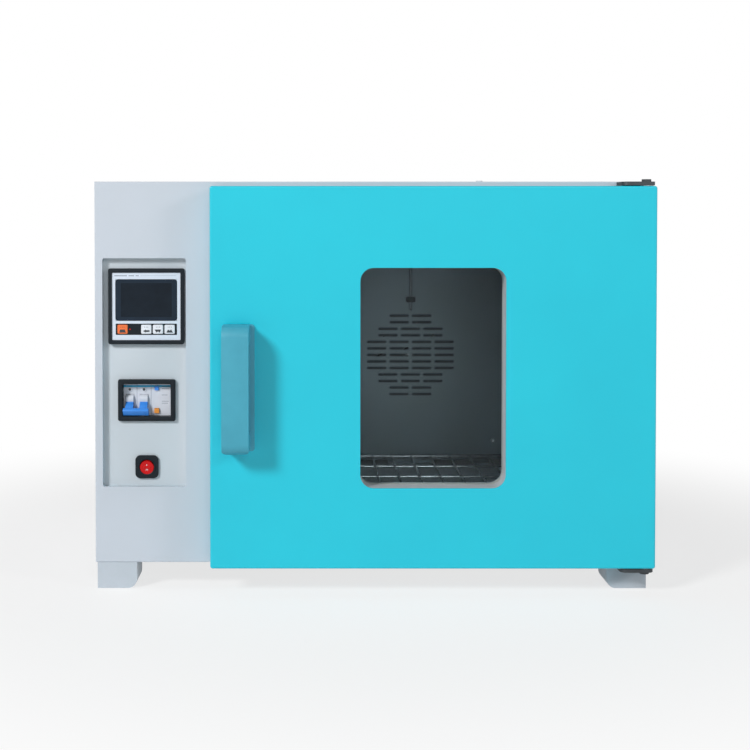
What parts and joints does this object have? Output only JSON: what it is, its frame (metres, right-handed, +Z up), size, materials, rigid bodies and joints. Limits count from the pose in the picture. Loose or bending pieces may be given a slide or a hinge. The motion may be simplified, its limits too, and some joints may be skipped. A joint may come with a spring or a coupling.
{
  "type": "hot air sterilizer",
  "caption": "Bench-top hot air sterilizer: grey insulated cabinet, hinged turquoise door with a window, fan and heater behind a slotted plate, wire shelves and a control column.",
  "frame": {"origin": "on the table, under the middle of the whole object", "axes": "+X to the right seen from the front, +Y back from the door, +Z up"},
  "size_m": [0.7, 0.577, 0.5255],
  "materials": {
    "cabinet_paint": "satin",
    "tray_paint": "satin",
    "door_paint": "satin",
    "galvanised_sheet": "satin",
    "stainless_sheet": "satin",
    "stainless_wire": "polished",
    "dark_steel": "satin",
    "zinc_steel": "satin",
    "window_glass": "polished",
    "silicone_seal": "matte",
    "mineral_wool": "matte",
    "lining_plastic": "matte",
    "handle_plastic": "matte",
    "foot_plastic": "matte",
    "black_plastic": "satin",
    "display_window": "polished",
    "face_plastic": "satin",
    "white_plastic": "satin",
    "orange_key": "matte",
    "white_key": "matte",
    "red_plastic": "polished",
    "blue_plastic": "polished",
    "orange_plastic": "polished",
    "motor_iron": "satin",
    "heater_sheath": "satin",
    "ceramic_bush": "matte",
    "sink_aluminium": "satin"
  },
  "bodies": {
    "cabinet": {"outer_casing": "cabinet_paint", "front_fascia": "cabinet_paint", "base_pan": "galvanised_sheet", "rear_panel": "cabinet_paint", "feet": "foot_plastic", "compartment_partition": "galvanised_sheet", "cabinet_insulation": "mineral_wool", "chamber_liner": "stainless_sheet", "air_duct_plate": "stainless_sheet", "duct_plate_nuts": "zinc_steel", "shelf_racks": "stainless_sheet", "heater_ring": "heater_sheath", "heater_terminals": "ceramic_bush", "fan_motor": "motor_iron", "temperature_probe": "stainless_wire", "probe_clip": "dark_steel", "control_tray": "tray_paint", "controller_bezel": "black_plastic", "controller_face": "face_plastic", "controller_display": "display_window", "controller_housing": "black_plastic", "breaker_frame": "black_plastic", "breaker_body": "white_plastic", "din_rail": "zinc_steel", "switch_housing": "black_plastic", "relay_heat_sink": "sink_aluminium", "solid_state_relay": "black_plastic", "terminal_block": "black_plastic", "power_inlet": "black_plastic", "rear_screws": "zinc_steel", "vent_tube": "stainless_sheet", "door_gasket": "silicone_seal", "magnet_catches": "black_plastic", "hinge_brackets": "dark_steel", "hinge_pins": "dark_steel", "hinge_screws": "dark_steel"},
    "door": {"door_skin": "door_paint", "door_inner_panel": "stainless_sheet", "window_lining": "lining_plastic", "outer_glass": "window_glass", "inner_glass": "window_glass", "glass_spacer": "silicone_seal", "door_insulation": "mineral_wool", "door_handle": "handle_plastic", "strike_plates": "zinc_steel", "hinge_bushes": "zinc_steel"},
    "power_rocker": {"power_rocker": "red_plastic"},
    "key_set": {"key_set": "orange_key"},
    "key_shift": {"key_shift": "white_key"},
    "key_down": {"key_down": "white_key"},
    "key_up": {"key_up": "white_key"},
    "breaker_toggle": {"breaker_toggle": "blue_plastic"},
    "breaker_test_button": {"breaker_test_button": "blue_plastic"},
    "breaker_reset_button": {"breaker_reset_button": "orange_plastic"},
    "fan": {"fan_impeller": "stainless_sheet", "fan_shaft": "zinc_steel", "cooling_blade": "sink_aluminium"},
    "shelf_lower": {"shelf_lower": "stainless_wire"},
    "shelf_upper": {"shelf_upper": "stainless_wire"},
    "vent_damper": {"vent_damper": "stainless_sheet"}
  },
  "joints": [
    {"name": "door_hinge", "type": "hinge", "parent": "cabinet", "child": "door", "pos_m": [0.339, -0.2335, 0.271], "axis": [0, 0, 1], "range_deg": [0, 165]},
    {"name": "rocker_tilt", "type": "hinge", "parent": "cabinet", "child": "power_rocker", "pos_m": [-0.2855, -0.1995, 0.1532], "axis": [-1, 0, 0], "range_deg": [0, 20]},
    {"name": "toggle_tilt", "type": "hinge", "parent": "cabinet", "child": "breaker_toggle", "pos_m": [-0.29885, -0.1905, 0.2382], "axis": [-1, 0, 0], "range_deg": [0, 90]},
    {"name": "key_set_press", "type": "slide", "parent": "cabinet", "child": "key_set", "axis": [0, 1, 0], "range_m": [0, 0.0008], "stiffness_N_per_m": 500},
    {"name": "key_shift_press", "type": "slide", "parent": "cabinet", "child": "key_shift", "axis": [0, 1, 0], "range_m": [0, 0.0008], "stiffness_N_per_m": 500},
    {"name": "key_down_press", "type": "slide", "parent": "cabinet", "child": "key_down", "axis": [0, 1, 0], "range_m": [0, 0.0008], "stiffness_N_per_m": 500},
    {"name": "key_up_press", "type": "slide", "parent": "cabinet", "child": "key_up", "axis": [0, 1, 0], "range_m": [0, 0.0008], "stiffness_N_per_m": 500},
    {"name": "breaker_test_button_press", "type": "slide", "parent": "cabinet", "child": "breaker_test_button", "axis": [0, 1, 0], "range_m": [0, 0.002], "stiffness_N_per_m": 500},
    {"name": "breaker_reset_button_press", "type": "slide", "parent": "cabinet", "child": "breaker_reset_button", "axis": [0, 1, 0], "range_m": [0, 0.002], "stiffness_N_per_m": 500},
    {"name": "fan_spin", "type": "hinge", "parent": "cabinet", "child": "fan", "pos_m": [0.074, 0.1515, 0.262], "axis": [0, 1, 0], "continuous": true},
    {"name": "shelf_lower_slide", "type": "slide", "parent": "cabinet", "child": "shelf_lower", "axis": [0, -1, 0], "range_m": [0, 0.012]},
    {"name": "shelf_upper_slide", "type": "slide", "parent": "cabinet", "child": "shelf_upper", "axis": [0, -1, 0], "range_m": [0, 0.012]},
    {"name": "damper_turn", "type": "hinge", "parent": "cabinet", "child": "vent_damper", "pos_m": [0.17, 0.0815, 0.515], "axis": [0, 0, 1], "range_deg": [0, 45]}
  ]
}
